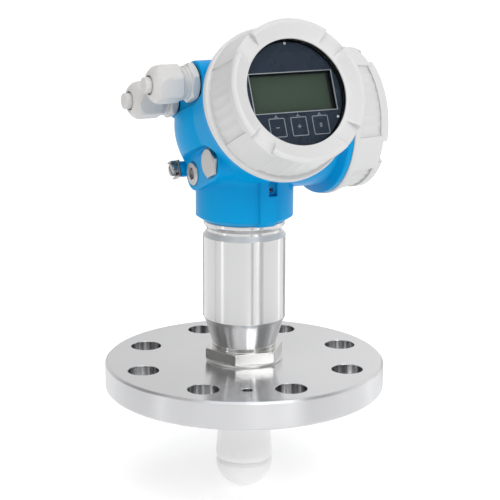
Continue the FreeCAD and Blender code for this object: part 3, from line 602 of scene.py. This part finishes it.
def add_print(work, width, height, x, y, line=0.0, corner=0.0):
    """Adds a bar, or with a line width the outline of a rounded square, to a print."""
    shape = bmesh.new()
    bmesh.ops.create_grid(shape, x_segments=1, y_segments=1, size=0.5)
    bmesh.ops.transform(shape, verts=shape.verts,
                        matrix=Matrix.Translation((x, y, 0)) @ Matrix.Diagonal((width, height, 1, 1)))
    if corner:
        bmesh.ops.bevel(shape, geom=shape.verts[:], offset=corner, offset_type="OFFSET",
                        affect="VERTICES", segments=4, profile=0.5, material=-1)
    if line:
        bmesh.ops.inset_region(shape, faces=shape.faces[:], thickness=line, use_even_offset=True,
                               use_boundary=True)
        inner = min(shape.faces, key=lambda f: (f.calc_center_median() - Vector((x, y, 0))).length)
        bmesh.ops.delete(shape, geom=[inner], context="FACES_ONLY")
    raised = bmesh.ops.extrude_face_region(shape, geom=shape.faces[:])
    tops = [v for v in raised["geom"] if isinstance(v, bmesh.types.BMVert)]
    bmesh.ops.translate(shape, vec=(0, 0, PRINT_THICK), verts=tops)
    bmesh.ops.recalc_face_normals(shape, faces=shape.faces)
    mesh = bpy.data.meshes.new("print")
    shape.to_mesh(mesh)
    shape.free()
    work.from_mesh(mesh)
    bpy.data.meshes.remove(mesh)


# Settings

class TransmitterLook(bpy.types.PropertyGroup):
    """Colours of the finishes."""
    housing_colour: FloatVectorProperty(name="Housing", description="Powder coat of the housing",
                                        subtype="COLOR", size=3, min=0, max=1,
                                        default=(0.0, 0.300, 0.635))
    cover_colour: FloatVectorProperty(name="Covers", description="Paint of the two screwed covers",
                                      subtype="COLOR", size=3, min=0, max=1, default=(0.60, 0.60, 0.60))
    gland_colour: FloatVectorProperty(name="Glands", description="Plastic of the cable glands",
                                      subtype="COLOR", size=3, min=0, max=1,
                                      default=(0.57, 0.56, 0.548))
    plug_colour: FloatVectorProperty(name="Plugs", description="Steel of the plugs and ground screw",
                                     subtype="COLOR", size=3, min=0, max=1, default=(0.45, 0.445, 0.44))
    antenna_colour: FloatVectorProperty(name="Antenna", description="Plastic of the antenna",
                                        subtype="COLOR", size=3, min=0, max=1,
                                        default=(0.90, 0.90, 0.895))
    flange_colour: FloatVectorProperty(name="Flange", description="Steel of the flange",
                                       subtype="COLOR", size=3, min=0, max=1,
                                       default=(0.64, 0.64, 0.65))
    neck_colour: FloatVectorProperty(name="Neck", description="Steel of the neck", subtype="COLOR",
                                     size=3, min=0, max=1, default=(0.60, 0.60, 0.60))
    adapter_colour: FloatVectorProperty(name="Adapter", description="Steel of the hexagon",
                                        subtype="COLOR", size=3, min=0, max=1,
                                        default=(0.645, 0.64, 0.625))
    plate_colour: FloatVectorProperty(name="Display plate", description="Front film of the display",
                                      subtype="COLOR", size=3, min=0, max=1,
                                      default=(0.023, 0.033, 0.051))
    screen_colour: FloatVectorProperty(name="Screen", description="Liquid crystal when it is off",
                                       subtype="COLOR", size=3, min=0, max=1,
                                       default=(0.052, 0.076, 0.051))
    ink_colour: FloatVectorProperty(name="Ink", description="Prints on the display", subtype="COLOR",
                                    size=3, min=0, max=1, default=(0.28, 0.30, 0.33))


class TransmitterKeys(bpy.types.PropertyGroup):
    """Prints of the three touch keys on the display's plate."""
    middle: FloatProperty(name="Middle", description="Place of the middle key", subtype="DISTANCE",
                          unit="LENGTH", default=0.0001)
    pitch: FloatProperty(name="Pitch", description="From key to key", subtype="DISTANCE", unit="LENGTH",
                         default=0.01595)
    low: FloatProperty(name="Height", description="Middle of the keys, from the display's middle",
                       subtype="DISTANCE", unit="LENGTH", default=-0.0218)
    width: FloatProperty(name="Key width", description="Outline's width", subtype="DISTANCE",
                         unit="LENGTH", default=0.0118)
    height: FloatProperty(name="Key height", description="Outline's height", subtype="DISTANCE",
                          unit="LENGTH", default=0.0128)
    line: FloatProperty(name="Line", description="Width of the printed line", subtype="DISTANCE",
                        unit="LENGTH", default=0.00055)
    corner: FloatProperty(name="Corner", description="Rounding of the outline", subtype="DISTANCE",
                          unit="LENGTH", default=0.0010)
    mark: FloatProperty(name="Mark", description="Width of the mark in a key", subtype="DISTANCE",
                        unit="LENGTH", default=0.0026)
    tick: FloatProperty(name="Tick", description="Height of the tick above a key", subtype="DISTANCE",
                        unit="LENGTH", default=0.0014)


class TransmitterHead(bpy.types.PropertyGroup):
    """Fine shape of the covers and the display."""
    grip_relief: FloatProperty(name="Grip relief", description="Share of the lugs' height that shows",
                               subtype="FACTOR", default=0.55, min=0, max=1)
    display_flutes: FloatProperty(name="Display flutes",
                                  description="Share of the flutes' depth that shows",
                                  subtype="FACTOR", default=0.68, min=0, max=1)
    terminal_flutes: FloatProperty(name="Terminal flutes",
                                   description="Share of the flutes' depth that shows",
                                   subtype="FACTOR", default=1.0, min=0, max=1)
    seat_gap: FloatProperty(name="Seat gap", description="Room between a cover's rim and the housing",
                            subtype="DISTANCE", unit="LENGTH", default=0.0003)
    display_height: FloatProperty(name="Display cover", description="Height of the display cover",
                                  subtype="DISTANCE", unit="LENGTH", default=0.0372)
    terminal_height: FloatProperty(name="Terminal cover", description="Height of the terminal cover",
                                   subtype="DISTANCE", unit="LENGTH", default=0.0289)
    terminal_wider: FloatProperty(name="Wider",
                                  description="How much wider the terminal cover is in radius",
                                  subtype="DISTANCE", unit="LENGTH", default=0.0015)
    screen_sink: FloatProperty(name="Screen depth", description="How much deeper the screen lies",
                               subtype="DISTANCE", unit="LENGTH", default=0.0022)


class TransmitterStudio(bpy.types.PropertyGroup):
    """Camera, lights and floor."""
    stand_angle: FloatProperty(name="Stand", description="Bearing of the camera's stand from the part",
                               subtype="ANGLE", default=math.radians(-26.6))
    card_reach: FloatProperty(name="Card reach", description="How far the reflected cards stand",
                              subtype="DISTANCE", unit="LENGTH", default=0.40)
    world_light: FloatProperty(name="World", description="Strength of the white surroundings",
                               default=1.02)
    front_wall: FloatProperty(name="Front wall", description="Brightness of the camera's side",
                              default=0.42)
    window_light: FloatProperty(name="Window",
                                description="Brightness of the soft light above the camera",
                                default=1.7)
    camera_azimuth: FloatProperty(name="Azimuth", description="Camera's bearing round the part",
                                  subtype="ANGLE", default=math.radians(-26.6 - 0.214))
    camera_pitch: FloatProperty(name="Pitch", description="How far the camera looks down",
                                subtype="ANGLE", default=math.radians(13.473))
    camera_roll: FloatProperty(name="Roll", description="Camera's roll", subtype="ANGLE",
                               default=math.radians(0.171))
    camera_reach: FloatProperty(name="Reach", description="Camera's distance from the neck's axis",
                                subtype="DISTANCE", unit="LENGTH", default=1.0607)
    camera_height: FloatProperty(name="Height", description="Camera's height above the sealing face",
                                 subtype="DISTANCE", unit="LENGTH", default=0.3535)
    camera_lens: FloatProperty(name="Lens", description="Focal length on a 36 mm sensor",
                               default=110.68, min=20, max=300)
    floor_gap: FloatProperty(name="Floor gap", description="Space between the antenna and the floor",
                             subtype="DISTANCE", unit="LENGTH", default=0.0004)


# Operators

class TRANSMITTER_OT_finish_nodes(bpy.types.Operator):
    """Gives every CAD piece its procedural finish"""
    bl_idname = "transmitter.finish_nodes"
    bl_label = "Finish the CAD pieces"

    def execute(self, context):
        MATERIALS.update(finishes(context.scene.transmitter_look))
        for node, piece in NODES.items():
            piece.data.materials.clear()
            piece.data.materials.append(MATERIALS[SLOTS[node]])
        return {"FINISHED"}


class TRANSMITTER_OT_steel(bpy.types.Operator):
    """Rounds the edges of the flange, the hexagon, the neck and the antenna"""
    bl_idname = "transmitter.steel"
    bl_label = "Flange, neck and antenna"

    def execute(self, context):
        for node, width in (("flange", 0.0004), ("adapter", 0.0003), ("adapter_seal", 0.0003),
                            ("neck", 0.0003), ("antenna_sleeve", 0.0003)):
            add_eased(node, width, MATERIALS)
        return {"FINISHED"}


class TRANSMITTER_OT_covers(bpy.types.Operator):
    """Softens the grips and rounds the edges of both screwed covers"""
    bl_idname = "transmitter.covers"
    bl_label = "Covers"

    def execute(self, context):
        head = context.scene.transmitter_head
        for node, place, seat, height, wider, flutes in (
                ("display_cover", TO_DISPLAY, DISPLAY_SEAT, head.display_height, 0.0,
                 head.display_flutes),
                ("terminal_cover", TO_TERMINALS, TERMINAL_SEAT, head.terminal_height,
                 head.terminal_wider, head.terminal_flutes)):
            work = joined(node)
            foot = place @ Matrix.Translation((0, 0, seat + head.seat_gap))
            calm_grip(work, foot, height, wider, head.grip_relief, flutes)
            add_eased(node, 0.0004, MATERIALS, work)
        return {"FINISHED"}


class TRANSMITTER_OT_display(bpy.types.Operator):
    """Sinks the screen in the display's plate and rounds the edges of both"""
    bl_idname = "transmitter.display"
    bl_label = "Display"

    def execute(self, context):
        for node, width in (("display_module", 0.0002), ("screen", 0.0001)):
            work = joined(node)
            sink_screen(work, context.scene.transmitter_head.screen_sink)
            add_eased(node, width, MATERIALS, work)
        return {"FINISHED"}


class TRANSMITTER_OT_glands(bpy.types.Operator):
    """Rounds the edges of both cable glands and their pins"""
    bl_idname = "transmitter.glands"
    bl_label = "Cable glands"

    def execute(self, context):
        for side in ("front", "rear"):
            for kind, width in (("body", 0.0004), ("cap", 0.0006), ("stopper", 0.0003)):
                add_eased("%s_gland_%s" % (side, kind), width, MATERIALS)
        return {"FINISHED"}


class TRANSMITTER_OT_plugs(bpy.types.Operator):
    """Rounds the edges of the plugs and of the ground terminal"""
    bl_idname = "transmitter.plugs"
    bl_label = "Plugs and ground terminal"

    def execute(self, context):
        for node, width in (("hex_plug", 0.0003), ("socket_plug", 0.0002)):
            add_eased(node, width, MATERIALS)
        worn = plain_steel("ground_steel", (0.36, 0.355, 0.35), 0.12, 0.24, 700.0)
        for node, width in (("ground_clamp", 0.0002), ("ground_washer", 0.0001),
                            ("ground_screw", 0.0002)):
            add_eased(node, width, {SLOTS[node]: worn})
        return {"FINISHED"}


class TRANSMITTER_OT_prints(bpy.types.Operator):
    """Prints the three touch keys with their marks on the display's plate"""
    bl_idname = "transmitter.prints"
    bl_label = "Display prints"

    def execute(self, context):
        work = bmesh.new()
        keys = context.scene.transmitter_keys
        for number in range(3):
            x = keys.middle + keys.pitch * (number - 1)
            add_print(work, keys.width, keys.height, x, keys.low, keys.line, keys.corner)
            self.add_mark(work, number, x, keys)
            tick = keys.low + keys.height / 2 + keys.tick
            add_print(work, keys.line, keys.tick, x, tick)
            add_print(work, keys.tick * 2, keys.line * 0.8, x, tick - keys.tick / 2)
        place = TO_DISPLAY @ Matrix.Translation((0.0, 0.0, MODULE_FRONT + PRINT_LIFT))
        bmesh.ops.transform(work, matrix=place, verts=work.verts)
        ink = plain_plastic("print_ink", context.scene.transmitter_look.ink_colour, easing=0.0)
        add_piece("key_prints", work, ink, "head")
        return {"FINISHED"}

    def add_mark(self, work, number, x, keys):
        """Minus, plus and a three-bar mark."""
        if number == 2:
            for row in (-1, 0, 1):
                add_print(work, keys.mark * 0.7, keys.line, x, keys.low + row * keys.mark * 0.4)
            return
        add_print(work, keys.mark, keys.line, x, keys.low)
        if number == 1:
            for side in (-1, 1):
                half = (keys.mark - keys.line) / 2
                add_print(work, keys.line, half, x, keys.low + side * (keys.line + half) / 2)


class TRANSMITTER_OT_stage(bpy.types.Operator):
    """Makes the floor, the lights, the background and the camera"""
    bl_idname = "transmitter.stage"
    bl_label = "Studio"

    def execute(self, context):
        studio = context.scene.transmitter_studio
        context.scene.view_settings.view_transform = "Standard"
        self.add_floor(studio)
        self.add_lights()
        self.add_world(context, studio)
        self.add_cards(studio)
        self.add_camera(context, studio)
        return {"FINISHED"}

    def add_floor(self, studio):
        work = bmesh.new()
        bmesh.ops.create_circle(work, cap_ends=True, segments=96, radius=FLOOR_R)
        mesh = bpy.data.meshes.new("floor")
        work.to_mesh(mesh)
        work.free()
        mesh.transform(Matrix.Translation((0, 0, CAD_BOX[0].z - studio.floor_gap)))
        mesh.materials.append(floor_finish())
        floor = bpy.data.objects.new("floor", mesh)
        bpy.context.scene.collection.objects.link(floor)

    def add_lights(self):
        for name, place, size, power in LIGHTS:
            data = bpy.data.lights.new(name, "AREA")
            data.shape = "SQUARE"
            data.size = size
            data.energy = power
            light = bpy.data.objects.new(name, data)
            light.location = place
            light.rotation_euler = (LIGHT_TARGET - Vector(place)).to_track_quat("-Z", "Y").to_euler()
            bpy.context.scene.collection.objects.link(light)

    def add_world(self, context, studio):
        """White behind and beside the part, darker on the camera's side and at the zenith, with a
        soft window above the camera."""
        world = bpy.data.worlds.new("studio_world")
        context.scene.world = world
        world.use_nodes = True
        tree = Tree(world.node_tree, "Generated")
        x, y, z = tree.axes()
        bearing = Matrix.Rotation(studio.stand_angle, 3, "Z") @ Vector((0.0, -1.0, 0.0))
        ahead = x * bearing.x + y * bearing.y
        across = y * bearing.x - x * bearing.y
        angle = tree.maths("ARCTAN2", across, ahead)
        walls = (1.0 - tree.step(abs(angle), 1.9, 2.4)) * (1.0 - tree.step(z, 0.85, 0.97))
        walls = walls * tree.step(z, 0.0, 0.06)
        window = tree.band(angle, -0.60, 0.50, 0.28) * tree.band(z, 0.50, 0.93, 0.10)
        back = 1.0 - tree.step(across * -1.0, -0.15, 0.15) * tree.step(z, 0.0, 0.1) * 0.20
        back = back - tree.step(z, 0.90, 0.98) * 0.45
        light = back - walls * (1.0 - studio.front_wall)
        light = light + window * (studio.window_light - studio.front_wall)
        background = tree.make("ShaderNodeBackground", Color=(1.0, 1.0, 1.0, 1.0),
                               Strength=light * studio.world_light)
        tree.make("ShaderNodeOutputWorld", Surface=background.outputs["Background"])

    def add_cards(self, studio):
        """Upright cards that only the polished steel shows, as dark and bright lines."""
        for angle, width, low, high, light in CARDS:
            work = bmesh.new()
            bmesh.ops.create_grid(work, x_segments=1, y_segments=1, size=0.5)
            turn = Matrix.Rotation(studio.stand_angle + math.radians(angle), 4, "Z")
            middle = CAD_BOX[0].z + (low + high) / 2
            place = turn @ Matrix.Translation((0.0, -studio.card_reach, middle))
            place = place @ Matrix.Rotation(math.radians(90), 4, "X")
            place = place @ Matrix.Diagonal((width, high - low, 1.0, 1.0))
            bmesh.ops.transform(work, matrix=place, verts=work.verts)
            mesh = bpy.data.meshes.new("card")
            work.to_mesh(mesh)
            work.free()
            mesh.materials.append(studio_card("card", light))
            card = bpy.data.objects.new("card", mesh)
            bpy.context.scene.collection.objects.link(card)
            card.visible_camera = False
            card.visible_diffuse = False
            card.visible_shadow = False

    def add_camera(self, context, studio):
        data = bpy.data.cameras.new("camera")
        data.sensor_width = SENSOR
        data.lens = studio.camera_lens
        data.clip_start = 0.05
        camera = bpy.data.objects.new("camera", data)
        bearing = Matrix.Rotation(studio.stand_angle, 4, "Z")
        place = bearing @ Vector((0.0, -studio.camera_reach, studio.camera_height))
        camera.matrix_world = (Matrix.Translation(place)
                               @ Matrix.Rotation(studio.camera_azimuth, 4, "Z")
                               @ Matrix.Rotation(math.radians(90) - studio.camera_pitch, 4, "X")
                               @ Matrix.Rotation(studio.camera_roll, 4, "Z"))
        context.scene.collection.objects.link(camera)
        context.scene.camera = camera


class TRANSMITTER_PT_panel(bpy.types.Panel):
    """Lists the settings and the steps"""
    bl_idname = "TRANSMITTER_PT_panel"
    bl_label = "Transmitter"
    bl_space_type = "VIEW_3D"
    bl_region_type = "UI"
    bl_category = "Transmitter"

    def draw(self, context):
        for key, group in GROUPS.items():
            for name in group.__annotations__:
                self.layout.prop(getattr(context.scene, key), name)
        for step in STEPS:
            self.layout.operator(step.bl_idname)


STEPS = (TRANSMITTER_OT_finish_nodes, TRANSMITTER_OT_steel, TRANSMITTER_OT_covers,
         TRANSMITTER_OT_display, TRANSMITTER_OT_glands, TRANSMITTER_OT_plugs,
         TRANSMITTER_OT_prints, TRANSMITTER_OT_stage)
GROUPS = {"transmitter_look": TransmitterLook, "transmitter_keys": TransmitterKeys,
          "transmitter_head": TransmitterHead, "transmitter_studio": TransmitterStudio}
CLASSES = tuple(GROUPS.values()) + STEPS + (TRANSMITTER_PT_panel,)


def register():
    for cls in CLASSES:
        bpy.utils.register_class(cls)
    for name, group in GROUPS.items():
        setattr(bpy.types.Scene, name, PointerProperty(type=group))


def unregister():
    for name in GROUPS:
        delattr(bpy.types.Scene, name)
    for cls in reversed(CLASSES):
        bpy.utils.unregister_class(cls)


def main():
    register()
    for step in STEPS:
        group, name = step.bl_idname.split(".")
        getattr(getattr(bpy.ops, group), name)()


if __name__ == "__main__":
    main()
